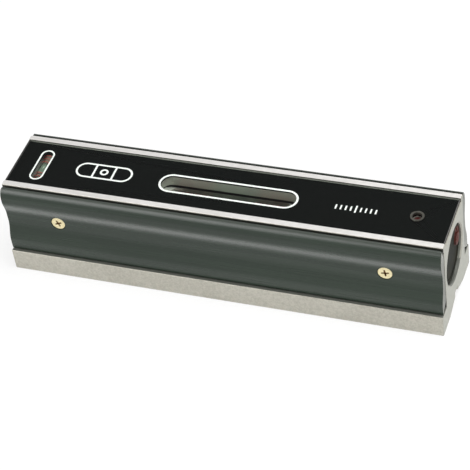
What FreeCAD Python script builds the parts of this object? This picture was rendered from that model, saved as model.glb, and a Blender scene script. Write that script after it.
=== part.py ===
import FreeCAD, Part
import math
import os

from FreeCAD import Vector

# Bar-type precision level, in millimetres.
# X runs along the bar, -Y is the front, Z is up; the origin is at the middle of the sole.

# --- Body: a ground cast-iron bar --------------------------------------------------------
length = 200.0
total_height = 46.0
base_width = 46.0
base_height = 11.0
ledge_width = 6.8              # base past the web on each side
rail_overhang = 0.7            # the rails stand out past the web on each side
rail_depth = 3.0               # height of the overhanging head
rail_width = 2.9               # ground strip on each side of the face plate
edge_break = 0.3

# --- Sole: V-groove with a relief slot at its apex --------------------------------------
vee_angle = 140.0
vee_width = 22.8
relief_width = 4.4
relief_height = 5.6

# --- Long bore through the body ----------------------------------------------------------
bore_wall = 2.8                # left in the web on each side
roof_thickness = 4.0           # left above the bore, under the plate's recess
mouth_chamfer = 0.6

# --- Face plate and the black mask under it ---------------------------------------------
plate_thickness = 1.2
mask_thickness = 0.8
plate_side_gap = 0.1
plate_setback = 0.5            # short of the body's end faces

# --- Windows -----------------------------------------------------------------------------
main_window_x = 0.5
main_window_length = 61.9
main_window_width = 9.6
cross_window_inset = 12.4      # from the bar's left end
cross_window_length = 18.2
cross_window_width = 5.0
window_margin = 0.3            # the body's slot is this much larger all round
stadium_flat = 0.001           # straight left between the two roundings of an end

# --- Side covers -------------------------------------------------------------------------
cover_crest_inset = 2.25       # crest, waist and foot, in from the side of the base
cover_waist_inset = 3.7
cover_foot_inset = 1.55
cover_crest_drop = 5.4         # crest below the rails' top
cover_waist_share = 0.511      # waist's height, of the height above the ledge
cover_waist_height = 5.8       # straight stretch at the waist
cover_foot_rise = 5.5          # top of the foot's upright face, above the ledge
cover_foot_radius = 0.6
cover_heel_rise = 4.0          # inner lower edge above the ledge
cover_top_drop = 0.6           # lip below the rails' top
cover_lip_width = 0.7
cover_lip_slope = 42.0         # face below level where it leaves the lip, degrees
cover_rail_gap = 1.0           # dark seam between the lip and the rail
cover_under_gap = 0.4          # clearance under the rail's overhang
cover_seat_gap = 0.1           # between the cover and the web
cover_ledge_gap = 0.2          # under the cover's toe
cover_setback = 0.2            # short of the body's end faces
cover_corner_radius = 0.8

# --- Cover screws ------------------------------------------------------------------------
screw_inset = 25.1             # from each end of the bar
screw_diameter = 3.5
screw_head_diameter = 6.6
screw_head_rim = 0.3
screw_head_gap = 0.15          # radial, in the countersink
screw_tip_gap = 0.4            # short of the bore
cross_slot_length = 3.6
cross_slot_width = 0.8
cross_slot_depth = 1.0

# --- End plugs ---------------------------------------------------------------------------
plug_recess = 1.4
plug_thickness = 5.0
plug_dish_depth = 0.3
plug_rim_width = 1.9           # left round the dish
lock_screw_inset = 5.0         # its axis, in from the plug's edge
lock_screw_rise = 1.2          # its axis, above the plug's middle
lock_screw_diameter = 4.0
lock_screw_head = 5.6
lock_screw_head_height = 0.9
lock_screw_length = 4.0
seal_height = 0.5
lock_seal_margin = 0.3         # rim of the head left bare

# --- Main vial, its tube, its pivot and its adjuster ------------------------------------
tube_roof_gap = 0.6            # between the tube and the top of the bore
vial_diameter = 13.0
vial_wall = 1.2
vial_length = 88.0
fluid_gap = 0.05
bubble_length = 22.0
bubble_width = 7.6
bubble_depth = 2.6
collar_length = 7.0
tube_diameter = 16.0
tube_wall = 1.2
tube_overrun = 8.0             # past the pivot
tube_window_length = 55.0
tube_window_width = 12.0
pivot_inset = 38.0             # from the bar's left end
pivot_diameter = 3.0
pivot_gap = 0.04               # radial running clearance
pivot_block_length = 16.0
adjuster_inset = 15.3          # from the bar's right end
lift_block_length = 13.2       # its middle is on the adjuster's axis
lift_spigot_length = 11.0
lift_block_width = 9.0
lift_block_height = 9.0
lift_block_lower = 2.5         # block's middle below the vial's axis
adjuster_thread = 3.0
adjuster_gap = 0.08            # radial, in the block and in the roof
adjuster_head_diameter = 4.0
adjuster_head_drop = 0.7       # top of the head below the plate's recess
adjuster_shoulder_share = 0.35 # roof left under the head, of its thickness
adjuster_slot_width = 0.7
adjuster_slot_depth = 0.7
adjuster_tip_rise = 0.5        # tip above the block's underside
ring_diameter = 5.4
ring_thickness = 0.5
ring_gap = 0.1
spring_diameter = 5.0
spring_wire = 0.7
spring_turns = 5.0
spring_seat_depth = 2.5
spring_end_gap = 0.15

# --- Adjuster hole in the face plate, with its eyelet -----------------------------------
eyelet_flange = 6.1
eyelet_flange_thickness = 0.35
eyelet_outer = 5.0
eyelet_inner = 4.2
eyelet_gap = 0.05

# --- Cross vial and its cradle -----------------------------------------------------------
cross_vial_diameter = 7.0
cross_vial_wall = 0.8
cross_vial_end_wall = 1.5      # cradle left past each end of the vial
cross_vial_drop = 0.4          # top of the glass below the mask
cross_bubble_length = 7.0
cross_bubble_width = 3.8
cross_bubble_depth = 1.5
cradle_width = 9.0
cradle_side_wall = 0.8         # roof left past each end of the cradle
cradle_height = 8.6
cradle_gap = 0.1

# --- Derived places ----------------------------------------------------------------------
half_length = length / 2
half_base = base_width / 2
half_web = half_base - ledge_width
half_head = half_web + rail_overhang
half_recess = half_head - rail_width
plate_width = 2 * (half_recess - plate_side_gap)
plate_length = length - 2 * plate_setback
plate_floor = total_height - plate_thickness
recess_floor = plate_floor - mask_thickness

bore_radius = half_web - bore_wall
roof_bottom = recess_floor - roof_thickness
bore_height = roof_bottom - bore_radius
plug_face_x = half_length - plug_recess

screw_x = half_length - screw_inset
screw_height = base_height + cover_waist_share * (total_height - base_height)
screw_face = half_base - cover_waist_inset

pivot_x = pivot_inset - half_length
adjuster_x = half_length - adjuster_inset
vial_axis_height = roof_bottom - tube_roof_gap - tube_diameter / 2
tube_start_x = pivot_x - tube_overrun
tube_end_x = adjuster_x - lift_block_length + lift_block_width / 2
block_height = vial_axis_height - lift_block_lower
adjuster_shoulder = roof_bottom + adjuster_shoulder_share * roof_thickness
adjuster_top = recess_floor - adjuster_head_drop

cross_window_x = cross_window_inset - half_length
cross_vial_axis = recess_floor - cross_vial_drop - cross_vial_diameter / 2
cradle_floor = recess_floor - cradle_height
cradle_length = 2 * (half_recess - cradle_side_wall)
cross_vial_length = cradle_length - 2 * cross_vial_end_wall
cross_centre = (cross_window_x, 0, cross_vial_axis)


def box(x_low, x_high, y_low, y_high, z_low, z_high):
    """Box between two corners."""
    corner = Vector(x_low, y_low, z_low)
    return Part.makeBox(x_high - x_low, y_high - y_low, z_high - z_low, corner)


def rod(radius, start, end):
    """Round bar between two points."""
    start = Vector(*start)
    along = Vector(*end) - start
    return Part.makeCylinder(radius, along.Length, start, along)


def extrude_section(outline, x_low, x_high):
    """Prism along X from a closed wire drawn in the YZ plane."""
    prism = Part.Face(outline).extrude(Vector(x_high - x_low, 0, 0))
    prism.translate(Vector(x_low, 0, 0))
    return prism


def stadium(x_mid, size_x, size_y, z_low, z_high):
    """Upright prism with fully rounded ends on its two short sides."""
    block = box(x_mid - size_x / 2, x_mid + size_x / 2, -size_y / 2, size_y / 2, z_low, z_high)
    radius = min(size_x, size_y) / 2 - stadium_flat
    uprights = [edge for edge in block.Edges if abs(edge.tangentAt(edge.FirstParameter).z) > 0.9]
    return block.makeFillet(radius, uprights)


def turned(edges, centre, heading):
    """Solid turned about the local X axis, then swung to its heading (degrees) and moved."""
    face = Part.Face(Part.Wire(edges))
    solid = face.revolve(Vector(0, 0, 0), Vector(1, 0, 0), 360)
    solid.rotate(Vector(0, 0, 0), Vector(0, 0, 1), heading)
    solid.translate(Vector(*centre))
    return solid


def spindle(size_along, width, centre, heading=0):
    """Ellipsoid of revolution: a bubble's shape."""
    arc = Part.Ellipse(Vector(0, 0, 0), size_along / 2, width / 2).toShape(0, math.pi)
    chord = Part.LineSegment(Vector(-size_along / 2, 0, 0), Vector(size_along / 2, 0, 0)).toShape()
    return turned([arc, chord], centre, heading)


def capsule(radius, half, centre, heading=0):
    """Round bar with fully domed ends; half is half its whole length."""
    bend = radius * math.sqrt(0.5)
    tip = Vector(half, 0, 0)
    shoulder = Vector(half - radius, radius, 0)
    far_shoulder = Vector(radius - half, radius, 0)
    far_tip = Vector(-half, 0, 0)
    dome = Part.Arc(tip, Vector(half - radius + bend, bend, 0), shoulder)
    far_dome = Part.Arc(far_shoulder, Vector(radius - half - bend, bend, 0), far_tip)
    side = Part.LineSegment(shoulder, far_shoulder)
    chord = Part.LineSegment(far_tip, tip)
    return turned([curve.toShape() for curve in (dome, side, far_dome, chord)], centre, heading)


def drop(radius, height):
    """Low round dome standing on the XY plane, as a drop of lacquer sets."""
    ball_radius = (radius ** 2 + height ** 2) / (2 * height)
    ball = Part.makeSphere(ball_radius, Vector(0, 0, height - ball_radius))
    return ball.common(rod(radius, (0, 0, 0), (0, 0, height)))


def mirrored(outline_points):
    """The same points on the other side of the XZ plane, in reverse order."""
    return [(-y, z) for y, z in reversed(outline_points)]


def section_wire(points):
    """Closed wire of straight edges through (y, z) points at X = 0."""
    corners = [Vector(0, y, z) for y, z in points]
    return Part.makePolygon(corners + corners[:1])


# --- Body --------------------------------------------------------------------------------

def body_section():
    """Half section from the middle of the sole to the middle of the plate recess."""
    vee_slope = math.tan(math.radians(90 - vee_angle / 2))
    flank_top = (vee_width / 2 - relief_width / 2) * vee_slope
    half = [
        (relief_width / 2, relief_height),
        (relief_width / 2, flank_top),
        (vee_width / 2, 0),
        (half_base - edge_break, 0),
        (half_base, edge_break),
        (half_base, base_height - edge_break),
        (half_base - edge_break, base_height),
        (half_web, base_height),
        (half_web, total_height - rail_depth),
        (half_head, total_height - rail_depth),
        (half_head, total_height - edge_break),
        (half_head - edge_break, total_height),
        (half_recess, total_height),
        (half_recess, recess_floor),
    ]
    return section_wire(half + mirrored(half))


def bore_cut():
    """The long bore with a chamfered mouth at each end."""
    axis = (0, bore_height)
    cut = rod(bore_radius, (-half_length, *axis), (half_length, *axis))
    for side in (-1, 1):
        mouth = Part.makeCone(
            bore_radius + mouth_chamfer, bore_radius, mouth_chamfer,
            Vector(side * half_length, *axis), Vector(-side, 0, 0))
        cut = cut.fuse(mouth)
    return cut


def window_cuts():
    """Slots through the roof under the two windows."""
    main = stadium(
        main_window_x, main_window_length + 2 * window_margin,
        main_window_width + 2 * window_margin, bore_height, recess_floor)
    cross = box(
        cross_window_x - cradle_width / 2 - cradle_gap, cross_window_x + cradle_width / 2 + cradle_gap,
        -cradle_length / 2 - cradle_gap, cradle_length / 2 + cradle_gap, cradle_floor, recess_floor)
    return [main, cross]


def adjuster_cuts():
    """Stepped hole for the adjusting screw, and the spring's seat straight below it."""
    head_radius = adjuster_head_diameter / 2 + adjuster_gap
    head = rod(head_radius, (adjuster_x, 0, adjuster_shoulder), (adjuster_x, 0, recess_floor))
    shank_radius = adjuster_thread / 2 + adjuster_gap
    shank = rod(shank_radius, (adjuster_x, 0, bore_height), (adjuster_x, 0, recess_floor))
    seat_radius = spring_diameter / 2 + spring_end_gap
    seat_floor = bore_height - bore_radius - spring_seat_depth
    seat = rod(seat_radius, (adjuster_x, 0, seat_floor), (adjuster_x, 0, bore_height))
    return [head, shank, seat]


def cross_holes():
    """Threaded holes for the cover screws and the hole that holds the pivot pin."""
    cuts = []
    for x in (-screw_x, screw_x):
        cuts.append(rod(screw_diameter / 2, (x, -half_head, screw_height), (x, half_head, screw_height)))
    pin_ends = [(pivot_x, side * half_head, vial_axis_height) for side in (-1, 1)]
    cuts.append(rod(pivot_diameter / 2, *pin_ends))
    return cuts


def make_body():
    bar = extrude_section(body_section(), -half_length, half_length)
    ends = [edge for edge in bar.Edges if abs(abs(edge.CenterOfMass.x) - half_length) < 0.01]
    bar = bar.makeChamfer(edge_break, ends)
    bar = bar.cut(bore_cut())
    return bar.cut(window_cuts() + adjuster_cuts() + cross_holes())


# --- Face plate, mask and eyelet ---------------------------------------------------------

def make_face_plate():
    half_x, half_y = plate_length / 2, plate_width / 2
    plate = box(-half_x, half_x, -half_y, half_y, plate_floor, total_height)
    tube = rod(eyelet_outer / 2 + eyelet_gap, (adjuster_x, 0, plate_floor), (adjuster_x, 0, total_height))
    flange_low = total_height - eyelet_flange_thickness
    flange = rod(eyelet_flange / 2 + eyelet_gap, (adjuster_x, 0, flange_low), (adjuster_x, 0, total_height))
    return plate.cut([tube, flange])


def make_mask():
    half_x, half_y = plate_length / 2, plate_width / 2
    sheet = box(-half_x, half_x, -half_y, half_y, recess_floor, plate_floor)
    main = stadium(main_window_x, main_window_length, main_window_width, recess_floor, plate_floor)
    cross = stadium(cross_window_x, cross_window_width, cross_window_length, recess_floor, plate_floor)
    hole = rod(eyelet_inner / 2, (adjuster_x, 0, recess_floor), (adjuster_x, 0, plate_floor))
    return sheet.cut([main, cross, hole])


def make_eyelet():
    """Flanged sleeve that lines the adjuster's hole, flush with the plate."""
    flange_low = total_height - eyelet_flange_thickness
    sleeve = rod(eyelet_outer / 2, (adjuster_x, 0, plate_floor), (adjuster_x, 0, total_height))
    flange = rod(eyelet_flange / 2, (adjuster_x, 0, flange_low), (adjuster_x, 0, total_height))
    hole = rod(eyelet_inner / 2, (adjuster_x, 0, plate_floor), (adjuster_x, 0, total_height))
    return sleeve.fuse(flange).cut(hole).removeSplitter()


# --- Side covers and their screws --------------------------------------------------------

def cover_section():
    """Waisted moulding: foot, waist, crest and lip joined by one smooth curve."""
    foot = Vector(0, half_base - cover_foot_inset, base_height + cover_foot_rise)
    waist_low = Vector(0, screw_face, screw_height - cover_waist_height / 2)
    waist_high = Vector(0, screw_face, screw_height + cover_waist_height / 2)
    crest = Vector(0, half_base - cover_crest_inset, total_height - cover_crest_drop)
    lip_inner_y = half_head + cover_rail_gap
    lip_top = total_height - cover_top_drop
    lip = Vector(0, lip_inner_y + cover_lip_width, lip_top)
    slope = math.radians(cover_lip_slope)
    up = Vector(0, 0, 1)
    face = Part.BSplineCurve()
    face.interpolate(
        Points=[foot, waist_low, waist_high, crest, lip],
        Tangents=[up, up, up, up, Vector(0, -math.cos(slope), math.sin(slope))],
        TangentFlags=[True] * 5)

    toe = Vector(0, foot.y - cover_foot_radius, base_height + cover_ledge_gap)
    foot_low = toe + Vector(0, cover_foot_radius, cover_foot_radius)
    bend = cover_foot_radius * math.sqrt(0.5)
    toe_mid = foot_low + Vector(0, bend - cover_foot_radius, -bend)
    under_rail = total_height - rail_depth - cover_under_gap
    inner_y = half_web + cover_seat_gap
    heel = Vector(0, inner_y, base_height + cover_heel_rise)
    back = [
        lip,
        Vector(0, lip_inner_y, lip_top),
        Vector(0, lip_inner_y, under_rail),
        Vector(0, inner_y, under_rail),
        heel,
        toe,
    ]
    edges = [
        face.toShape(),
        Part.LineSegment(foot_low, foot).toShape(),
        Part.Arc(toe, toe_mid, foot_low).toShape(),
    ]
    for start, end in zip(back, back[1:]):
        edges.append(Part.LineSegment(start, end).toShape())
    return Part.Wire(Part.__sortEdges__(edges))


def cover_end_mask():
    """Slab with rounded corners that gives the cover its rounded ends."""
    end_x = half_length - cover_setback
    low = base_height + cover_ledge_gap
    high = total_height - cover_top_drop
    slab = box(-end_x, end_x, 0, half_base, low, high)
    across = [edge for edge in slab.Edges if abs(edge.tangentAt(edge.FirstParameter).y) > 0.9]
    return slab.makeFillet(cover_corner_radius, across)


def screw_profile(x, radial_gap, tip_y):
    """Countersunk screw, or its hole, turned about its axis; the head faces +Y."""
    head = screw_head_diameter / 2 + radial_gap
    shank = screw_diameter / 2 + radial_gap
    rim = screw_face - screw_head_rim
    cone = rim - (head - shank)
    top = half_base if radial_gap else screw_face
    outline = [(0, tip_y), (shank, tip_y), (shank, cone), (head, rim), (head, top), (0, top)]
    points = [Vector(x + radius, y, screw_height) for radius, y in outline]
    face = Part.Face(Part.makePolygon(points + points[:1]))
    return face.revolve(Vector(x, 0, screw_height), Vector(0, 1, 0), 360)


def cross_recess(x):
    """Cross-shaped driver recess in a screw head."""
    reach = cross_slot_length / 2
    half = cross_slot_width / 2
    low = screw_face - cross_slot_depth
    upright = box(x - half, x + half, low, screw_face, screw_height - reach, screw_height + reach)
    level = box(x - reach, x + reach, low, screw_face, screw_height - half, screw_height + half)
    return upright.fuse(level)


def make_back_cover():
    cover = extrude_section(cover_section(), -half_length, half_length)
    cover = cover.common(cover_end_mask())
    return cover.cut([screw_profile(x, screw_head_gap, 0) for x in (-screw_x, screw_x)])


def make_back_screws():
    tip_y = bore_radius + screw_tip_gap
    screws = [screw_profile(x, 0, tip_y).cut(cross_recess(x)) for x in (-screw_x, screw_x)]
    return Part.makeCompound(screws)


def to_front(shape):
    """The same piece on the front of the bar."""
    return shape.mirror(Vector(0, 0, 0), Vector(0, 1, 0))


# --- End plugs ---------------------------------------------------------------------------

def make_end_plug():
    """Right-hand plug with a shallow dish; the locking screw's hole is added by the caller."""
    axis = (0, bore_height)
    disc = rod(bore_radius, (plug_face_x - plug_thickness, *axis), (plug_face_x, *axis))
    dish = rod(bore_radius - plug_rim_width, (plug_face_x - plug_dish_depth, *axis), (plug_face_x, *axis))
    return disc.cut(dish)


def lock_screw_axis(x):
    return (x, bore_radius - lock_screw_inset, bore_height + lock_screw_rise)


def make_right_plug():
    dish_x = plug_face_x - plug_dish_depth
    hole = rod(lock_screw_diameter / 2, lock_screw_axis(dish_x - lock_screw_length), lock_screw_axis(dish_x))
    return make_end_plug().cut(hole)


def make_lock_screw():
    dish_x = plug_face_x - plug_dish_depth
    shank = rod(lock_screw_diameter / 2, lock_screw_axis(dish_x - lock_screw_length), lock_screw_axis(dish_x))
    head_end = dish_x + lock_screw_head_height
    head = rod(lock_screw_head / 2, lock_screw_axis(dish_x), lock_screw_axis(head_end))
    return shank.fuse(head).removeSplitter()


def make_lock_seal():
    """Domed drop of sealing lacquer on the locking screw's head."""
    seal = drop(lock_screw_head / 2 - lock_seal_margin, seal_height)
    seal.rotate(Vector(0, 0, 0), Vector(0, 1, 0), 90)
    seal.translate(Vector(*lock_screw_axis(plug_face_x - plug_dish_depth + lock_screw_head_height)))
    return seal


# --- Main vial ---------------------------------------------------------------------------

def main_axis(x):
    return (x, 0, vial_axis_height)


def make_main_vial():
    """Sealed glass tube with domed ends."""
    centre = main_axis(main_window_x)
    outside = capsule(vial_diameter / 2, vial_length / 2, centre)
    return outside.cut(capsule(vial_diameter / 2 - vial_wall, vial_length / 2 - vial_wall, centre))


def make_main_fluid():
    """Liquid that fills the vial, with the bubble as a hollow at its top."""
    inset = vial_wall + fluid_gap
    radius = vial_diameter / 2 - inset
    liquid = capsule(radius, vial_length / 2 - inset, main_axis(main_window_x))
    bubble_z = vial_axis_height + radius - bubble_depth + bubble_width / 2
    return liquid.cut(spindle(bubble_length, bubble_width, (main_window_x, 0, bubble_z)))


def make_vial_collars():
    """Two rings that bed the vial in its tube."""
    outer = tube_diameter / 2 - tube_wall
    rings = []
    for side in (-1, 1):
        far = main_window_x + side * (vial_length / 2 - vial_diameter / 2)
        near = far - side * collar_length
        ring = rod(outer, main_axis(near), main_axis(far))
        rings.append(ring.cut(rod(vial_diameter / 2, main_axis(near), main_axis(far))))
    return Part.makeCompound(rings)


def pivot_hole():
    """Running hole for the pivot pin, across the tube and the block inside it."""
    ends = [(pivot_x, side * tube_diameter, vial_axis_height) for side in (-1, 1)]
    return rod(pivot_diameter / 2 + pivot_gap, *ends)


def make_vial_tube():
    """Carrier tube, open on top along the graduated part of the vial."""
    tube = rod(tube_diameter / 2, main_axis(tube_start_x), main_axis(tube_end_x))
    inside = rod(tube_diameter / 2 - tube_wall, main_axis(tube_start_x), main_axis(tube_end_x))
    opening = stadium(
        main_window_x, tube_window_length, tube_window_width, vial_axis_height, roof_bottom)
    return tube.cut([inside, opening, pivot_hole()])


def make_pivot_block():
    """Plug in the tube's left end, bored across for the pivot pin."""
    radius = tube_diameter / 2 - tube_wall
    block = rod(radius, main_axis(tube_start_x), main_axis(tube_start_x + pivot_block_length))
    return block.cut(pivot_hole())


def make_pivot_pin():
    ends = [(pivot_x, side * half_web, vial_axis_height) for side in (-1, 1)]
    return rod(pivot_diameter / 2, *ends)


def make_lift_block():
    """Lug on the tube's right end that the adjusting screw raises and lowers."""
    low, high = block_height - lift_block_height / 2, block_height + lift_block_height / 2
    lug = box(
        tube_end_x, tube_end_x + lift_block_length, -lift_block_width / 2, lift_block_width / 2, low, high)
    spigot = rod(
        tube_diameter / 2 - tube_wall, main_axis(tube_end_x - lift_spigot_length), main_axis(tube_end_x))
    hole = rod(adjuster_thread / 2 + adjuster_gap, (adjuster_x, 0, low), (adjuster_x, 0, high))
    return lug.fuse(spigot).removeSplitter().cut(hole)


# --- Adjuster ----------------------------------------------------------------------------

def adjuster_slot_block(reach):
    """Straight driver slot across the screw's head."""
    half_slot = adjuster_slot_width / 2
    floor = adjuster_top - adjuster_slot_depth
    return box(adjuster_x - reach, adjuster_x + reach, -half_slot, half_slot, floor, adjuster_top)


def make_adjusting_screw():
    """Captive screw: it turns in the roof and its thread moves the lift block."""
    tip = block_height - lift_block_height / 2 + adjuster_tip_rise
    shank = rod(adjuster_thread / 2, (adjuster_x, 0, tip), (adjuster_x, 0, adjuster_shoulder))
    head = rod(adjuster_head_diameter / 2, (adjuster_x, 0, adjuster_shoulder), (adjuster_x, 0, adjuster_top))
    return shank.fuse(head).removeSplitter().cut(adjuster_slot_block(adjuster_head_diameter))


def make_adjuster_seal():
    """Lacquer that fills the screw's slot and domes over its head."""
    reach = adjuster_head_diameter / 2
    dome = drop(reach, seal_height)
    dome.translate(Vector(adjuster_x, 0, adjuster_top))
    head = rod(reach, (adjuster_x, 0, adjuster_shoulder), (adjuster_x, 0, adjuster_top))
    return dome.fuse(adjuster_slot_block(reach).common(head)).removeSplitter()


def make_retaining_ring():
    """Clip under the roof that holds the adjusting screw up against its shoulder."""
    top = bore_height + math.sqrt(bore_radius ** 2 - (ring_diameter / 2) ** 2) - ring_gap
    outer = rod(ring_diameter / 2, (adjuster_x, 0, top - ring_thickness), (adjuster_x, 0, top))
    return outer.cut(rod(adjuster_thread / 2, (adjuster_x, 0, top - ring_thickness), (adjuster_x, 0, top)))


def make_adjuster_spring():
    """Coil spring that pushes the lift block up, standing in its seat."""
    floor = bore_height - bore_radius - spring_seat_depth
    ceiling = block_height - lift_block_height / 2 - spring_end_gap
    rise = ceiling - floor - spring_wire
    pitch = rise / spring_turns
    mean_radius = (spring_diameter - spring_wire) / 2
    path = Part.makeHelix(pitch, rise, mean_radius)
    along = Vector(0, math.tau * mean_radius, pitch)
    wire_circle = Part.makeCircle(spring_wire / 2, Vector(mean_radius, 0, 0), along)
    coil = Part.Wire(path).makePipeShell([Part.Wire(wire_circle)], True, True)
    coil.translate(Vector(adjuster_x, 0, floor + spring_wire / 2))
    return coil


# --- Cross vial --------------------------------------------------------------------------

def make_cross_vial():
    outside = capsule(cross_vial_diameter / 2, cross_vial_length / 2, cross_centre, 90)
    radius = cross_vial_diameter / 2 - cross_vial_wall
    return outside.cut(capsule(radius, cross_vial_length / 2 - cross_vial_wall, cross_centre, 90))


def make_cross_fluid():
    inset = cross_vial_wall + fluid_gap
    radius = cross_vial_diameter / 2 - inset
    liquid = capsule(radius, cross_vial_length / 2 - inset, cross_centre, 90)
    bubble_z = cross_vial_axis + radius - cross_bubble_depth + cross_bubble_width / 2
    bubble = spindle(cross_bubble_length, cross_bubble_width, (cross_window_x, 0, bubble_z), 90)
    return liquid.cut(bubble)


def make_cross_cradle():
    """Moulded block with a trough that holds the cross vial up to its middle."""
    block = box(
        cross_window_x - cradle_width / 2, cross_window_x + cradle_width / 2,
        -cradle_length / 2, cradle_length / 2, cradle_floor, cross_vial_axis)
    return block.cut(capsule(cross_vial_diameter / 2, cross_vial_length / 2, cross_centre, 90))


# --- Export ------------------------------------------------------------------------------

def make_nodes():
    back_cover = make_back_cover()
    back_screws = make_back_screws()
    return {
        "body": make_body(),
        "face_plate": make_face_plate(),
        "window_mask": make_mask(),
        "hole_eyelet": make_eyelet(),
        "front_cover": to_front(back_cover),
        "back_cover": back_cover,
        "front_cover_screws": to_front(back_screws),
        "back_cover_screws": back_screws,
        "left_end_plug": make_end_plug().mirror(Vector(0, 0, 0), Vector(1, 0, 0)),
        "right_end_plug": make_right_plug(),
        "lock_screw": make_lock_screw(),
        "lock_screw_seal": make_lock_seal(),
        "vial_tube": make_vial_tube(),
        "main_vial": make_main_vial(),
        "main_vial_fluid": make_main_fluid(),
        "vial_collars": make_vial_collars(),
        "pivot_block": make_pivot_block(),
        "pivot_pin": make_pivot_pin(),
        "lift_block": make_lift_block(),
        "adjusting_screw": make_adjusting_screw(),
        "adjuster_seal": make_adjuster_seal(),
        "retaining_ring": make_retaining_ring(),
        "adjuster_spring": make_adjuster_spring(),
        "cross_vial": make_cross_vial(),
        "cross_vial_fluid": make_cross_fluid(),
        "cross_cradle": make_cross_cradle(),
    }


os.makedirs("parts", exist_ok=True)
for name, shape in make_nodes().items():
    shape.exportStep(f"parts/{name}.step")
    print(name, len(shape.Solids), round(shape.Volume, 1), shape.isValid())
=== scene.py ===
# A bar-type machinist's level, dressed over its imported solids: -Y is the front, X runs along the bar.
import math

import bpy
import numpy as np
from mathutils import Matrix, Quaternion, Vector


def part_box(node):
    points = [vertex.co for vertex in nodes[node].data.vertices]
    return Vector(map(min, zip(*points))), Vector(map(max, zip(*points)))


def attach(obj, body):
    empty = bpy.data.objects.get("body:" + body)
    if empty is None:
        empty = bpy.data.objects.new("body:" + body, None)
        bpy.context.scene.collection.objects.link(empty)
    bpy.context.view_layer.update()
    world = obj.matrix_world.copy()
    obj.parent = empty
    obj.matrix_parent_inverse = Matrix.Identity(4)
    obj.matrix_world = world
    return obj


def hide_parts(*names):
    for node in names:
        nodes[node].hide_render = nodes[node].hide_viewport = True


mm = 0.001
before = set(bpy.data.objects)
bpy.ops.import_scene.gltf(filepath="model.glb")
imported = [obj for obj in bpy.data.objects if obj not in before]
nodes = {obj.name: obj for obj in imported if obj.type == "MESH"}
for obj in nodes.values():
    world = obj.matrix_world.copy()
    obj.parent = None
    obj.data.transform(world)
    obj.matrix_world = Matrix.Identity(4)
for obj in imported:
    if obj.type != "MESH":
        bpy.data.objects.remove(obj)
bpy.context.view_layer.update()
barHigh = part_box("body")[1]
halfLength, halfBase, barTop = barHigh
plateLow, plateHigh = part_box("face_plate")
coverLow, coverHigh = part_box("back_cover")
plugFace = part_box("right_end_plug")[1][0]
screwLow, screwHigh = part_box("back_cover_screws")
screwFace, screwHeight = screwHigh[1], (screwLow[2] + screwHigh[2]) / 2
print("frame loaded:", len(nodes), "solids' nodes")


class Signal:                      # a socket that takes part in an expression; each operator adds a Math node
    def __init__(self, finish, socket):
        self.finish, self.socket = finish, socket

    def math(self, operation, *values):
        return self.finish.node("ShaderNodeMath", {"operation": operation}, values)

    def __add__(self, other):
        return self.math("ADD", self, other)

    def __radd__(self, other):
        return self.math("ADD", other, self)

    def __sub__(self, other):
        return self.math("SUBTRACT", self, other)

    def __rsub__(self, other):
        return self.math("SUBTRACT", other, self)

    def __mul__(self, other):
        return self.math("MULTIPLY", self, other)

    def __rmul__(self, other):
        return self.math("MULTIPLY", other, self)

    def __truediv__(self, other):
        return self.math("DIVIDE", self, other)

    def __pow__(self, other):
        return self.math("POWER", self, other)

    def __abs__(self):
        return self.math("ABSOLUTE", self)

    def largest(self, other):
        return self.math("MAXIMUM", self, other)

    def smallest(self, other):
        return self.math("MINIMUM", self, other)

    def ramp(self, low, high):     # 0 at low, 1 at high, smooth between; low may be above high
        settings = {"interpolation_type": "SMOOTHSTEP"}
        return self.finish.node("ShaderNodeMapRange", settings, [self, low, high, 0, 1])


class Finish:                      # one material, and the only way that nodes are added to it
    def __init__(self, name):
        self.material = bpy.data.materials.new(name)
        self.material.use_nodes = True
        self.tree = self.material.node_tree
        self.tree.nodes.clear()
        self.place = self.node("ShaderNodeTexCoord", out="Object")
        self.x = self.node("ShaderNodeSeparateXYZ", {}, [self.place])
        self.y, self.z = self.also(self.x, "Y"), self.also(self.x, "Z")

    def node(self, kind, settings=None, sockets=(), out=0):
        made = self.tree.nodes.new(kind)
        for key, value in (settings or {}).items():
            setattr(made, key, value)
        for key, value in sockets.items() if isinstance(sockets, dict) else enumerate(sockets):
            if isinstance(value, Signal):
                self.tree.links.new(value.socket, made.inputs[key])
            else:
                made.inputs[key].default_value = value
        return Signal(self, made.outputs[out]) if made.outputs else None

    def also(self, signal, out):   # another output of the node behind a signal
        return Signal(self, signal.socket.node.outputs[out])

    def mixColour(self, factor, first, second):
        return self.node("ShaderNodeMix", {"data_type": "RGBA"}, {0: factor, 6: first, 7: second}, out=2)

    def noise(self, scale, detail=3.0, along=(1, 1, 1)):
        at = self.node("ShaderNodeVectorMath", {"operation": "MULTIPLY"}, [self.place, along])
        return self.node("ShaderNodeTexNoise", {}, {"Vector": at, "Scale": scale, "Detail": detail})

    def bump(self, height, distance, strength=1.0):
        return self.node("ShaderNodeBump", {}, {"Height": height, "Distance": distance, "Strength": strength})

    def between(self, signal, low, high, soft):      # 1 from low to high, with soft edges outside
        return signal.ramp(low - soft, low) * signal.ramp(high + soft, high)

    def principled(self, **sockets):
        named = {key.replace("_", " "): value for key, value in sockets.items()}
        return self.node("ShaderNodeBsdfPrincipled", {}, named)

    def surface(self, shader):
        self.node("ShaderNodeOutputMaterial", {}, {"Surface": shader})
        return self.material


def grey(level):
    return (level, level, level, 1)


def dress(material, *names):
    for name in names:
        mesh = nodes[name].data
        mesh.materials.clear()
        mesh.materials.append(material)


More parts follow.
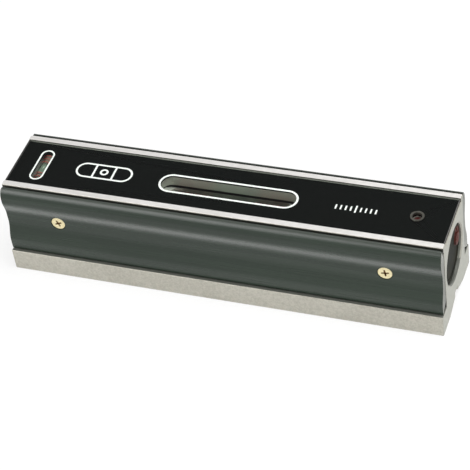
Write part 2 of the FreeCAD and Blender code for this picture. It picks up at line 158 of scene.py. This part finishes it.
def newPiece(name, points, faces, body, material, sharpAngle=35):
    mesh = bpy.data.meshes.new(name)
    faces = [[int(corner) for corner in face] for face in faces]
    mesh.from_pydata(np.asarray(points, float).tolist(), [], faces)
    mesh.polygons.foreach_set("use_smooth", [True] * len(mesh.polygons))
    mesh.materials.append(material)
    mesh.update()
    mesh.set_sharp_from_angle(angle=math.radians(sharpAngle))
    piece = bpy.data.objects.new(name, mesh)
    bpy.context.scene.collection.objects.link(piece)
    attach(piece, body)
    return piece


def gridQuads(index):              # quads between the rows and columns of an index table
    return np.stack([index[:-1, :-1], index[:-1, 1:], index[1:, 1:], index[1:, :-1]], 2).reshape(-1, 4)


def eased(t):                      # 0 to 1 with level ends: 3t^2 - 2t^3
    t = np.clip(t, 0, 1)
    return t * t * (3 - 2 * t)


iron = {
    "side": (0.50, 0.485, 0.42, 1), "sideDark": (0.38, 0.365, 0.31, 1),
    "rail": (0.92, 0.90, 0.88, 1), "railDark": (0.83, 0.81, 0.78, 1),
    "end": (0.43, 0.44, 0.385, 1), "endShare": 0.75,
    "slot": (0.46, 0.48, 0.42, 1), "slotHalfWidth": 16.9 * mm, "slotBottom": 38 * mm,
    "mouth": (0.30, 0.31, 0.27, 1), "boreRadius": 13.4 * mm, "boreHeight": 26.6 * mm,
    "ledge": (0.16, 0.165, 0.145, 1), "ledgeZ": 11 * mm, "ledgeReach": 16 * mm,
    "shadeDark": (0.045, 0.045, 0.038, 1), "webY": 16.0 * mm, "baseSideY": 22.65 * mm,
    "recessLow": 43.9 * mm, "recessSides": (13.9 * mm, 14.05 * mm),
    "grain": 1500, "spots": 520, "clouds": 55, "scratches": 2600, "roughness": 0.42}


def groundIron():
    # cast iron, ground bright on rails, base and ends, the rail tops lifted near white as a painted highlight; a
    # darker ledge; painted shade under the rails, on the recess wall and in the bore
    f = Finish("groundIron")
    grain, spots, clouds = f.noise(iron["grain"], 2), f.noise(iron["spots"], 3), f.noise(iron["clouds"], 3)
    scratches = f.noise(iron["scratches"], 2, (0.02, 1, 1))
    mottle = (grain * 0.45 + spots * 0.35 + clouds * 0.2).ramp(0.36, 0.64)
    colour = f.mixColour(mottle, iron["sideDark"], iron["side"])
    endFace = abs(f.x).ramp(halfLength - 0.10 * mm, halfLength - 0.05 * mm)
    colour = f.mixColour(endFace * iron["endShare"], colour, iron["end"])
    # the rail tops: their own ground finish with scratch streaks, and their colour lifted near white as a
    # painted highlight
    rail = f.z.ramp(barTop - 0.10 * mm, barTop - 0.05 * mm)
    railStreaksAndSheen = f.mixColour((scratches * 0.6 + clouds * 0.4).ramp(0.35, 0.6), iron["railDark"], iron["rail"])
    colour = f.mixColour(rail, colour, railStreaksAndSheen)
    # the recess that the plate lies in, its wall darkened as painted shade, and the walls of the slots below it
    recess = f.between(abs(f.y), *iron["recessSides"], 0.02 * mm)
    recess = recess * f.between(f.z, iron["recessLow"], barTop - 0.2 * mm, 0.05 * mm)
    colour = f.mixColour(recess, colour, iron["shadeDark"])
    inside = abs(f.y).ramp(iron["slotHalfWidth"] + 0.1 * mm, iron["slotHalfWidth"])
    inside = inside * abs(f.x).ramp(halfLength - 0.5 * mm, halfLength - 0.9 * mm)
    inside = inside * f.z.ramp(iron["slotBottom"], iron["slotBottom"] + 0.5 * mm)
    inside = inside * f.z.ramp(barTop - 0.5 * mm, barTop - 0.6 * mm)
    colour = f.mixColour(inside, colour, iron["slot"])
    # the ledge under the covers, darker, and painted shade in the space between cover, web and rail
    notEnd = 1 - endFace
    withinSide = abs(f.y).ramp(iron["baseSideY"] + 0.1 * mm, iron["baseSideY"])
    ledge = f.between(f.z, iron["ledgeZ"] - 0.1 * mm, iron["ledgeReach"], 0.2 * mm) * withinSide
    seam = abs(f.y).ramp(iron["webY"], iron["webY"] + 0.1 * mm) * withinSide
    seam = seam * f.between(f.z, iron["ledgeZ"], barTop - 0.30 * mm, 0.1 * mm)
    # the bore: brighter at its mouth, painted shade past the plug's face
    rise = f.z - iron["boreHeight"]
    radial = (f.y * f.y + rise * rise) ** 0.5
    bore = radial.ramp(iron["boreRadius"] + 0.08 * mm, iron["boreRadius"] + 0.03 * mm)
    mouth = bore * abs(f.x).ramp(plugFace, plugFace + 0.1 * mm)
    colour = f.mixColour(mouth, colour, iron["mouth"])
    bore = bore * abs(f.x).ramp(plugFace + 0.1 * mm, plugFace)
    colour = f.mixColour(ledge * notEnd, colour, iron["ledge"])
    aboveLedge = f.z.ramp(iron["ledgeZ"] + 0.1 * mm, iron["ledgeZ"] + 0.3 * mm)
    # painted shade: the seam above the ledge, and the bore past the plug's face
    dark = (seam * aboveLedge * notEnd).largest(bore)
    colour = f.mixColour(dark, colour, iron["shadeDark"])
    metallic = (1 - dark) * (0.35 + rail * 0.15)
    rough = iron["roughness"] + (spots - 0.5) * 0.3 - rail * 0.06
    bumps = f.bump(grain * (1 - rail) + scratches * rail * 0.5, 0.03 * mm, 0.35)
    return f.surface(f.principled(Base_Color=colour, Metallic=metallic, Roughness=rough, Normal=bumps))


coat = {
    "dark": (0.0110, 0.0210, 0.0125, 1), "light": (0.0165, 0.0290, 0.0180, 1), "end": (0.20, 0.205, 0.18, 1),
    "lip": (0.050, 0.058, 0.050, 1), "lipDepth": (1.6 * mm, 0.8 * mm), "roughness": 0.27}


def greyGreenCoat():
    # semi-gloss coat with faint drawn lines along X, lighter near the lip as a painted sheen; the ends are bare
    f = Finish("greyGreenCoat")
    lines = f.noise(420, 3, (0.02, 1, 1))
    clouds = f.noise(30, 2, (0.35, 1, 1))
    colour = f.mixColour((lines * 0.6 + clouds * 0.4).ramp(0.35, 0.65), coat["dark"], coat["light"])
    bare = abs(f.x).ramp(coverHigh[0] - 0.10 * mm, coverHigh[0] - 0.02 * mm)
    # the coat lightened towards the lip: a painted sheen of the rolled-over top
    lipSheen = f.z.ramp(*(coverHigh[2] - depth for depth in coat["lipDepth"]))
    colour = f.mixColour(lipSheen, colour, coat["lip"])
    colour = f.mixColour(bare, colour, coat["end"])
    rough = coat["roughness"] + (lines - 0.5) * 0.12 + bare * 0.12
    return f.surface(f.principled(Base_Color=colour, Metallic=bare * 0.4, Roughness=rough,
                                  Specular_IOR_Level=0.4, Normal=f.bump(lines, 0.01 * mm, 0.15)))


mainWindow = {"x": 0.5 * mm, "length": 61.9 * mm, "width": 9.6 * mm, "line": 0.9 * mm}
crossWindow = {"x": -87.6 * mm, "length": 18.2 * mm, "width": 5.0 * mm, "line": 0.72 * mm}
badge = {"x": -57.8 * mm, "y": 0.8 * mm, "length": 25.0 * mm, "width": 7.6 * mm, "line": 0.85 * mm,
         "bubble": 1.5 * mm, "tick": 4.6 * mm}
tickRow = {"x": 58.0 * mm, "pitch": 2.2 * mm, "reach": 9.6 * mm, "height": 1.3 * mm, "tall": 2.1 * mm,
           "line": 0.32 * mm}


def slotLine(across, along, slot):
    # distance outside a slot with round ends: what of along lies past its straight stretch, joined with across
    past = (abs(along) - (slot["length"] - slot["width"]) / 2).largest(0)
    outside = (past * past + across * across) ** 0.5 - slot["width"] / 2
    soft = 0.04 * mm
    return outside.ramp(-soft, 0) * outside.ramp(slot["line"] + soft, slot["line"])


def plainMarks(f):
    # a bubble-tube sign, and a short row of ticks: outline, ring and strokes as distances from lines
    soft = 0.05 * mm
    along, across = f.x - badge["x"], f.y - badge["y"]
    outline = slotLine(across, along, badge)
    fromRing = (along * along + across * across) ** 0.5 - badge["bubble"]
    ring = abs(fromRing).ramp(badge["line"] / 2 + soft, badge["line"] / 2)
    strokes = abs(abs(along) - badge["tick"]).ramp(badge["line"] / 2 + soft, badge["line"] / 2)
    strokes = strokes * abs(across).ramp(badge["width"] / 2 + soft, badge["width"] / 2)
    fromMiddle = f.x - tickRow["x"]
    phase = f.node("ShaderNodeMath", {"operation": "PINGPONG"}, [fromMiddle, tickRow["pitch"] / 2])
    ticks = phase.ramp(tickRow["line"] + soft, tickRow["line"])
    ticks = ticks * abs(fromMiddle).ramp(tickRow["reach"] + soft, tickRow["reach"])
    middle = abs(fromMiddle).ramp(tickRow["pitch"] / 2 + soft, tickRow["pitch"] / 2)
    height = abs(f.y) - middle * (tickRow["tall"] - tickRow["height"])
    ticks = ticks * height.ramp(tickRow["height"] + soft, tickRow["height"])
    return outline.largest(ring).largest(strokes).largest(ticks)


printInk = {"black": (0.0012, 0.0022, 0.0022, 1), "blackDrift": (0.0022, 0.0030, 0.0024, 1),
            "white": (0.90, 0.92, 0.90, 1), "roughness": 0.6}


def blackPrint():
    # black print under the plate, with white lines round the windows
    f = Finish("blackPrint")
    mainLine = slotLine(f.y, f.x - mainWindow["x"], mainWindow)
    crossLine = slotLine(f.x - crossWindow["x"], f.y, crossWindow)
    topOnly = f.z.ramp(plateLow[2] - 0.10 * mm, plateLow[2] - 0.05 * mm)
    lines = mainLine.largest(crossLine).largest(plainMarks(f)) * topOnly
    clouds = f.noise(40, 2)
    black = f.mixColour(clouds, printInk["black"], printInk["blackDrift"])
    colour = f.mixColour(lines, black, printInk["white"])
    rough = printInk["roughness"] + (clouds - 0.5) * 0.2
    return f.surface(f.principled(Base_Color=colour, Roughness=rough, Specular_IOR_Level=0.04))


def clearPlate():
    # see-through, with gloss on its outward faces; sawn ends are dull
    f = Finish("clearPlate")
    ends = abs(f.x).ramp(plateHigh[0] - 0.06 * mm, plateHigh[0] - 0.03 * mm)
    outward = 1 - f.node("ShaderNodeNewGeometry", out="Backfacing")
    gloss = f.node("ShaderNodeFresnel", {}, {"IOR": 1.45}) * outward
    clear = f.node("ShaderNodeBsdfTransparent", {}, {"Color": (0.97, 0.98, 0.97, 1)})
    shine = f.node("ShaderNodeBsdfGlossy", {}, {"Color": grey(1), "Roughness": 0.05})
    body = f.node("ShaderNodeMixShader", {}, [gloss, clear, shine])
    sawn = f.principled(Base_Color=(0.10, 0.095, 0.09, 1), Roughness=0.5)
    return f.surface(f.node("ShaderNodeMixShader", {}, [ends, body, sawn]))


graduations = {"ink": (0.32, 0.035, 0.03, 1), "step": 2 * mm, "halfLine": 0.21 * mm,
               "main": {"depth": 3.6 * mm, "first": 11 * mm, "last": 27 * mm},
               "cross": {"depth": 2.0 * mm, "first": 3.6 * mm, "last": 7.6 * mm}}


def glassSkin(name, along, middle, top, scale):
    # clear glass; on its upper side red rings stand every step from first to last, on both sides of the middle
    f = Finish(name)
    crown, first, last = top - scale["depth"], scale["first"], scale["last"]
    run = abs(getattr(f, along) - middle)
    phase = f.node("ShaderNodeMath", {"operation": "PINGPONG"}, [run - first, graduations["step"]])
    phase = phase.smallest(graduations["step"] - phase)
    marks = phase.ramp(graduations["halfLine"] + 0.05 * mm, graduations["halfLine"])
    marks = marks * f.between(run, first - 0.5 * mm, last + 0.5 * mm, 0.1 * mm)
    marks = marks * f.z.ramp(crown - 0.1 * mm, crown + 0.1 * mm)
    outward = 1 - f.node("ShaderNodeNewGeometry", out="Backfacing")
    gloss = f.node("ShaderNodeFresnel", {}, {"IOR": 1.5}) * outward
    clear = f.node("ShaderNodeBsdfTransparent", {}, {"Color": (0.93, 0.96, 0.93, 1)})
    shine = f.node("ShaderNodeBsdfGlossy", {}, {"Color": grey(1), "Roughness": 0.04})
    skin = f.node("ShaderNodeMixShader", {}, [gloss, clear, shine])
    ink = f.principled(Base_Color=graduations["ink"], Roughness=0.4)
    return f.surface(f.node("ShaderNodeMixShader", {}, [marks, skin, ink]))


def drifting(name, first, second, roughness, metallic, coatWeight):
    # one colour that drifts to a near one with fine noise
    f = Finish(name)
    tone = f.noise(400, 3)
    colour = f.mixColour(tone.ramp(0.3, 0.7), first, second)
    rough = roughness + (tone - 0.5) * 0.2
    return f.surface(f.principled(Base_Color=colour, Metallic=metallic, Roughness=rough, Coat_Weight=coatWeight))


plug = {"paint": (0.010, 0.012, 0.007, 1), "paintLight": (0.022, 0.022, 0.013, 1),
        "lacquer": (0.105, 0.016, 0.007, 1), "lacquerY": 9.8 * mm, "lacquerZ": 28.0 * mm,
        "lacquerHalf": (3.6 * mm, 5.2 * mm), "lacquerFromX": 90 * mm}


def plugPaint():
    # olive-black paint; brown-red thread lacquer lies inside an ellipse whose edge noise makes ragged
    f = Finish("plugPaint")
    clouds = f.noise(160, 3)
    colour = f.mixColour(clouds.ramp(0.35, 0.65), plug["paint"], plug["paintLight"])
    across = (f.y - plug["lacquerY"]) / plug["lacquerHalf"][0]
    up = (f.z - plug["lacquerZ"]) / plug["lacquerHalf"][1]
    daub = (across * across + up * up + (f.noise(420, 3) - 0.5) * 1.6).ramp(1.15, 0.85)
    daub = daub * f.x.ramp(plug["lacquerFromX"], plug["lacquerFromX"] + 2 * mm)
    colour = f.mixColour(daub, colour, plug["lacquer"])
    return f.surface(f.principled(Base_Color=colour, Roughness=0.75 - daub * 0.2 + (clouds - 0.5) * 0.2,
                                  Specular_IOR_Level=0.25, Normal=f.bump(clouds + daub * 0.5, 0.1 * mm, 0.4)))


screw = {
    "x": 74.9 * mm, "holeRadius": 3.45 * mm, "headRadius": 3.15 * mm, "shankRadius": 1.75 * mm,
    "sunk": 0.10 * mm, "rim": 0.3 * mm, "dome": 0.12 * mm, "holeDepth": 2.2 * mm,
    "patch": 5.0 * mm, "patchSteps": 20,           # half the square left out of the cover, and its steps
    "crossReach": 1.7 * mm, "crossHalf": 0.34 * mm, "crossDepth": 0.9 * mm, "turns": {-1: (24, 9), 1: (40, 65)},
    "brass": (0.84, 0.75, 0.47, 1), "brassDark": (0.74, 0.64, 0.37, 1), "recessShade": (0.16, 0.075, 0.018, 1)}


def screwBrass():
    # pale worn brass; painted shade darkens the cross and the edge of the head
    f = Finish("screwBrass")
    tone = f.noise(900, 3)
    colour = f.mixColour(tone.ramp(0.3, 0.7), screw["brass"], screw["brassDark"])
    # the cross and the head's sunk edge darkened as painted shade
    sunk = abs(f.y).ramp(screwFace - 0.26 * mm, screwFace - 0.50 * mm)
    colour = f.mixColour(sunk, colour, screw["recessShade"])
    rough = 0.42 + sunk * 0.2 + (tone - 0.5) * 0.2
    return f.surface(f.principled(Base_Color=colour, Metallic=0.3 - sunk * 0.2, Roughness=rough))


ironFinish, coatFinish, brassFinish = groundIron(), greyGreenCoat(), screwBrass()
dress(ironFinish, "body")
dress(blackPrint(), "window_mask")
dress(clearPlate(), "face_plate")
dress(plugPaint(), "left_end_plug", "right_end_plug")
# name: first and second colour, roughness, metallic, coat, and the solids that wear it
plainFinishes = {
    "eyeletSteel": ((0.045, 0.044, 0.036), (0.075, 0.072, 0.060), 0.5, 0.3, 0, ["hole_eyelet"]),
    "turnedSteel": ((0.50, 0.50, 0.47), (0.40, 0.40, 0.38), 0.38, 0.8, 0,
                    ["pivot_pin", "adjusting_screw", "retaining_ring", "adjuster_spring"]),
    "redLacquer": ((0.050, 0.008, 0.008), (0.085, 0.014, 0.012), 0.3, 0, 0.5, ["adjuster_seal"]),
    "brownLacquer": ((0.105, 0.018, 0.008), (0.070, 0.012, 0.006), 0.65, 0, 0,
                     ["lock_screw", "lock_screw_seal"]),
    "tubePlating": ((0.36, 0.37, 0.33), (0.44, 0.45, 0.40), 0.4, 0.1, 0, ["vial_tube"]),
    "blockBrass": ((0.55, 0.42, 0.18), (0.65, 0.52, 0.26), 0.4, 0.7, 0, ["pivot_block", "lift_block"]),
    "whiteMoulding": ((0.30, 0.30, 0.28), (0.36, 0.36, 0.33), 0.5, 0, 0, ["vial_collars", "cross_cradle"]),
    "paleLiquid": ((0.22, 0.26, 0.22), (0.26, 0.30, 0.26), 0.15, 0, 0, ["main_vial_fluid", "cross_vial_fluid"])}
for name, (first, second, roughness, metallic, coatWeight, wearers) in plainFinishes.items():
    dress(drifting(name, (*first, 1), (*second, 1), roughness, metallic, coatWeight), *wearers)
vialTop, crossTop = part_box("main_vial")[1][2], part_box("cross_vial")[1][2]
dress(glassSkin("mainGlass", "x", mainWindow["x"], vialTop, graduations["main"]), "main_vial")
dress(glassSkin("crossGlass", "y", 0, crossTop, graduations["cross"]), "cross_vial")
print("finishes on the solids")


cover = {
    "footInset": 1.55 * mm, "waistInset": 3.7 * mm, "crestInset": 2.25 * mm,      # in from the side of the base
    "footRadius": 0.6 * mm, "footTop": 16.5 * mm, "waistLow": 26.0 * mm, "waistHigh": 31.0 * mm,
    "swellTop": 39.0 * mm, "crestZ": 40.6 * mm, "underRail": 42.6 * mm, "heelZ": 15.0 * mm,
    "lipInner": 17.9 * mm, "lipWidth": 0.7 * mm, "lipRadius": 0.8 * mm, "lipSlope": 42.0,
    "crestHandle": 2.2 * mm, "lipHandle": 1.3 * mm, "cornerRadius": 0.8 * mm}


def coverFaceY(z):
    # outer face from foot to crest: upright, then an eased step in to the waist, and an eased step out again
    dip = eased((z - cover["footTop"]) / (cover["waistLow"] - cover["footTop"]))
    swell = eased((z - cover["waistHigh"]) / (cover["swellTop"] - cover["waistHigh"]))
    return (halfBase - cover["footInset"] - (cover["waistInset"] - cover["footInset"]) * dip
            + (cover["waistInset"] - cover["crestInset"]) * swell)


def coverProfile():
    # closed section, as (y, z): toe arc, face, a cubic from the upright crest to the lip's slope, lip arc, back
    innerY, lipY, lipZ = coverLow[1], cover["lipInner"] + cover["lipWidth"], coverHigh[2]
    footY, crestY = halfBase - cover["footInset"], halfBase - cover["crestInset"]
    around = np.linspace(-math.pi / 2, 0, 7)[:-1]
    toe = np.stack([footY - cover["footRadius"] * (1 - np.cos(around)),
                    coverLow[2] + cover["footRadius"] * (1 + np.sin(around))], 1)
    patchLow, patchHigh = screwHeight - screw["patch"], screwHeight + screw["patch"]
    rises = np.concatenate([np.linspace(coverLow[2] + cover["footRadius"], patchLow, 25)[:-1],
                            np.linspace(patchLow, patchHigh, screw["patchSteps"] + 1),
                            np.linspace(patchHigh, cover["crestZ"], 15)[1:]])
    face = np.stack([coverFaceY(rises), rises], 1)
    slope, radius = math.radians(cover["lipSlope"]), cover["lipRadius"]
    reach = radius * math.tan(slope / 2)
    crest = (crestY, cover["crestZ"])
    down = np.array([math.cos(slope), -math.sin(slope)])
    corners = np.array([crest, (crest[0], crest[1] + cover["crestHandle"]),
                        (lipY, lipZ) + cover["lipHandle"] * down, (lipY, lipZ) + reach * down])
    t = np.linspace(0, 1, 17)[1:, None]
    crown = (corners[0] * (1 - t) ** 3 + corners[1] * 3 * t * (1 - t) ** 2 + corners[2] * 3 * t ** 2 * (1 - t)
             + corners[3] * t ** 3)
    lean = np.linspace(slope, 0, 9)[1:]
    lip = np.stack([lipY - reach + radius * np.sin(lean), lipZ - radius + radius * np.cos(lean)], 1)
    back = np.array([(cover["lipInner"], lipZ), (cover["lipInner"], cover["underRail"]),
                     (innerY, cover["underRail"]), (innerY, cover["heelZ"])])
    return np.concatenate([toe, face, crown, lip, back]), len(toe) + 24


def makeCover(name, node, side):
    # the section carried along X; near each end its height is clipped by the corner's arc; round each screw a
    # square of the face is left out and filled by rings that run in to the hole, then down the countersink
    profile, patchRow = coverProfile()
    endX, radius, steps = coverHigh[0], cover["cornerRadius"], screw["patchSteps"]
    corner = endX - radius * (1 - np.sin(np.linspace(0, math.pi / 2, 9)))
    inner = np.linspace(-1, 1, steps + 1) * screw["patch"] + screw["x"]
    half = np.concatenate([np.linspace(0, inner[0], 25), inner[1:], np.linspace(inner[-1], corner[0], 9)[1:],
                           corner[1:]])
    stations = np.concatenate([-half[:0:-1], half])
    past = np.clip(np.abs(stations) - (endX - radius), 0, radius)
    clip = radius - np.sqrt(radius ** 2 - past ** 2)
    z = np.clip(profile[:, 1][:, None], coverLow[2] + clip, coverHigh[2] - clip)
    y = np.broadcast_to(profile[:, 0][:, None], z.shape)
    points = [np.stack([np.broadcast_to(stations, z.shape), y, z], 2).reshape(-1, 3)]
    index = np.arange(z.size).reshape(z.shape)
    quads = gridQuads(np.concatenate([index, index[:1]])).reshape(z.shape[0], -1, 4)
    keep = np.ones(quads.shape[:2], bool)
    centres = (-screw["x"], screw["x"])
    firsts = [int(np.argmin(np.abs(stations - (centre - screw["patch"])))) for centre in centres]
    for first in firsts:
        keep[patchRow:patchRow + steps, first:first + steps] = False
    faces, count = [quads[keep]], z.size
    shares = np.linspace(0, 1, 8)[:-1] ** 1.5
    for centre, first in zip(centres, firsts):
        last, topRow = first + steps, patchRow + steps
        rim = np.concatenate([index[patchRow, first:last], index[patchRow:topRow, last],
                              index[topRow, last:first:-1], index[topRow:patchRow:-1, first]])
        middle = np.array([centre, screwHeight])
        edge = points[0][rim][:, [0, 2]] - middle
        ring = edge / np.linalg.norm(edge, axis=1)[:, None] * screw["holeRadius"]
        flat = middle + ring + shares[:, None, None] * (edge - ring)
        floor = screwFace - screw["holeDepth"]
        shankShare = screw["shankRadius"] / screw["holeRadius"]
        sunk = [(0.0, floor), (shankShare, floor), (1.0, screwFace - screw["rim"])]
        wall = [np.stack([middle[0] + ring[:, 0] * share, np.full(len(ring), depth),
                          middle[1] + ring[:, 1] * share], 1) for share, depth in sunk]
        levels = wall + [np.stack([level[:, 0], coverFaceY(level[:, 1]), level[:, 1]], 1) for level in flat]
        rings = np.concatenate([count + np.arange(len(levels) * len(rim)).reshape(-1, len(rim)), rim[None]])
        rings[0] = rings[0, 0]
        faces.append(gridQuads(np.concatenate([rings, rings[:, :1]], 1))[:, ::-1])
        points.append(np.concatenate(levels))
        count += len(points[-1])
    polygons = np.concatenate(faces)
    caps = [index[:, -1], index[::-1, 0]]
    # the section turns from +Y to +Z, so its quads face in on the +Y side and out once mirrored
    if side > 0:
        polygons = polygons[:, ::-1]
    else:
        caps = [cap[::-1] for cap in caps]
    polygons = [list(dict.fromkeys(face)) for face in polygons.tolist()]
    placed = np.concatenate(points) * (1, side, 1)
    piece = newPiece(name, placed, polygons + caps, "frame", coatFinish)
    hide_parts(node)


def makeScrews(name, node, side):
    # each head is a polar grid: a low dome, less a cross that narrows to its tips, then cone and shank
    tip = min(abs(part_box(node)[0][1]), abs(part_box(node)[1][1]))
    around = np.linspace(0, 2 * math.pi, 97)[:-1]
    top = np.linspace(0, screw["headRadius"], 34)[1:]
    crown = screwFace - screw["sunk"]
    rim = crown - screw["dome"] - screw["rim"]
    head, shank, chamfer = screw["headRadius"], screw["shankRadius"], 0.5 * mm
    turned = np.array([(head, rim), (shank, rim - (head - shank)), (shank, tip + chamfer),
                       (shank - chamfer, tip)])
    radii = np.concatenate([top, turned[:, 0]])[:, None]
    u, v = radii * np.cos(around), radii * np.sin(around)
    half = screw["crossHalf"] * (1.15 - 0.35 * np.maximum(np.abs(u), np.abs(v)) / screw["crossReach"])
    soft = 0.10 * mm

    def arm(run, across):
        inWidth = eased((half + soft - np.abs(across)) / soft)
        return inWidth * eased((screw["crossReach"] + soft - np.abs(run)) / (2 * soft))

    cross = np.maximum(arm(u, v), arm(v, u)) * screw["crossDepth"]
    heights = np.concatenate([crown - screw["dome"] * (top / screw["headRadius"]) ** 2, turned[:, 1]])[:, None]
    heights = heights - np.where(np.arange(len(radii))[:, None] < len(top), cross, 0)
    points, faces = [], []
    for centre, turn in zip((-screw["x"], screw["x"]), screw["turns"][side]):
        angle = math.radians(turn)
        x = centre + u * math.cos(angle) - v * math.sin(angle)
        z = screwHeight + u * math.sin(angle) + v * math.cos(angle)
        start = sum(len(part) for part in points)
        body = np.stack([x, heights, z], 2).reshape(-1, 3)
        poles = [(centre, crown - screw["crossDepth"], screwHeight), (centre, tip, screwHeight)]
        points += [body, np.array(poles)]
        table = start + np.arange(len(body)).reshape(len(radii), -1)
        table = np.concatenate([table, table[:, :1]], 1)
        table = np.concatenate([np.full((1, table.shape[1]), start + len(body)), table,
                                np.full((1, table.shape[1]), start + len(body) + 1)])
        faces.append(gridQuads(table))
    polygons = np.concatenate(faces)
    if side < 0:
        polygons = polygons[:, ::-1]
    polygons = [list(dict.fromkeys(face)) for face in polygons.tolist()]
    piece = newPiece(name, np.concatenate(points) * (1, side, 1), polygons, "frame", brassFinish)
    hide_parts(node)


makeCover("backCoverSkin", "back_cover", 1)
makeCover("frontCoverSkin", "front_cover", -1)
makeScrews("backScrews", "back_cover_screws", 1)
makeScrews("frontScrews", "front_cover_screws", -1)
print("covers and screws made")


studio = {
    "floor": 0.82, "floorGlow": 0.75, "glowStrength": 1.05, "floorReach": 12.0,
    "horizon": 0.95, "ceiling": 0.20, "fade": (0.20, 0.50),      # strengths, and the heights between them
    "card": {"from": -23.5 * mm, "to": -30.0 * mm, "length": 0.24, "radiance": 2.2},
    "aim": (0, 0, 0.03),
    "lamps": {"overheadLamp": {"place": (0.25, 0.05, 0.9), "size": (0.6, 0.6), "radiance": 9.0},
              "frontLamp": {"place": (-0.5, -0.9, 0.45), "size": (0.7, 0.5), "radiance": 4.5}}}


def makeFloor():
    # pale paper; rays that only look at it also meet a white glow, so its shadow stays but its white is white
    f = Finish("paleFloor")
    camera = f.node("ShaderNodeLightPath", out="Is Camera Ray")
    seen = (camera + f.also(camera, "Is Glossy Ray") + f.also(camera, "Is Transmission Ray")).smallest(1)
    paper = f.node("ShaderNodeBsdfDiffuse", {}, {"Color": grey(studio["floor"])})
    glow = f.node("ShaderNodeEmission", {}, {"Color": grey(1), "Strength": studio["glowStrength"]})
    material = f.surface(f.node("ShaderNodeMixShader", {}, [seen * studio["floorGlow"], paper, glow]))
    mesh = bpy.data.meshes.new("floor")
    reach = studio["floorReach"]
    corners = [(-reach, -reach, 0), (reach, -reach, 0), (reach, reach, 0), (-reach, reach, 0)]
    mesh.from_pydata(corners, [], [(0, 1, 2, 3)])
    mesh.materials.append(material)
    floor = bpy.data.objects.new("floor", mesh)
    bpy.context.scene.collection.objects.link(floor)


def makeWorld():
    # bright low down, dark overhead, by the height of the direction
    world = bpy.data.worlds.new("studio")
    bpy.context.scene.world = world
    world.use_nodes = True
    tree = world.node_tree
    tree.nodes.clear()
    place = tree.nodes.new("ShaderNodeTexCoord")
    split = tree.nodes.new("ShaderNodeSeparateXYZ")
    ramp = tree.nodes.new("ShaderNodeMapRange")
    ramp.interpolation_type = "SMOOTHSTEP"
    span = {"From Min": studio["fade"][0], "From Max": studio["fade"][1],
            "To Min": studio["horizon"], "To Max": studio["ceiling"]}
    for key, value in span.items():
        ramp.inputs[key].default_value = value
    back = tree.nodes.new("ShaderNodeBackground")
    out = tree.nodes.new("ShaderNodeOutputWorld")
    tree.links.new(place.outputs["Generated"], split.inputs[0])
    tree.links.new(split.outputs[2], ramp.inputs["Value"])
    tree.links.new(ramp.outputs[0], back.inputs["Strength"])
    tree.links.new(back.outputs[0], out.inputs["Surface"])


def makeLamp(name, place, target, size, radiance):
    # an area lamp of a given radiance, where 1 is white: power is radiance times area times pi
    data = bpy.data.lights.new(name, "AREA")
    data.shape = "RECTANGLE"
    data.size, data.size_y = size
    data.energy = radiance * size[0] * size[1] * math.pi
    made = bpy.data.objects.new(name, data)
    bpy.context.scene.collection.objects.link(made)
    made.location = place
    made.rotation_mode = "QUATERNION"
    made.rotation_quaternion = (Vector(target) - Vector(place)).to_track_quat("-Z", "Y")
    return made


def makeCards():
    # strips of light on the floor beside the bar, seen only as reflections in the covers
    coated = bpy.data.collections.new("coated")
    for name in ("frontCoverSkin", "backCoverSkin"):
        coated.objects.link(bpy.data.objects[name])
    card = studio["card"]
    for side in (1, -1):
        middle = (card["from"] + card["to"]) / 2 * side
        made = makeLamp("floorCard" + ("Front" if side > 0 else "Back"), (0, middle, 0.5 * mm), (0, middle, 1),
                        (card["length"], abs(card["to"] - card["from"])), card["radiance"])
        made.visible_camera = made.visible_diffuse = made.visible_transmission = False
        made.light_linking.receiver_collection = coated


shot = {"azimuth": 24.94, "elevation": 43.15, "roll": -9.15, "distance": 0.8103,
        "target": (2.56 * mm, -4.33 * mm, 23.0 * mm), "focalLength": 141.86}


def makeCamera():
    azimuth, elevation = math.radians(shot["azimuth"]), math.radians(shot["elevation"])
    level = math.cos(elevation)
    back = Vector((math.sin(azimuth) * level, -math.cos(azimuth) * level, math.sin(elevation)))
    data = bpy.data.cameras.new("shotCamera")
    data.lens, data.sensor_width = shot["focalLength"], 36
    data.clip_start, data.clip_end = 0.05, 60
    camera = bpy.data.objects.new("shotCamera", data)
    bpy.context.scene.collection.objects.link(camera)
    camera.location = Vector(shot["target"]) + back * shot["distance"]
    camera.rotation_mode = "QUATERNION"
    turn = Quaternion((0, 0, 1), math.radians(shot["roll"]))
    camera.rotation_quaternion = (-back).to_track_quat("-Z", "Y") @ turn
    bpy.context.scene.camera = camera


makeFloor()
makeWorld()
for name, lamp in studio["lamps"].items():
    makeLamp(name, lamp["place"], studio["aim"], lamp["size"], lamp["radiance"])
makeCards()
makeCamera()
bpy.context.scene.view_settings.view_transform = "Standard"
print("stage set")
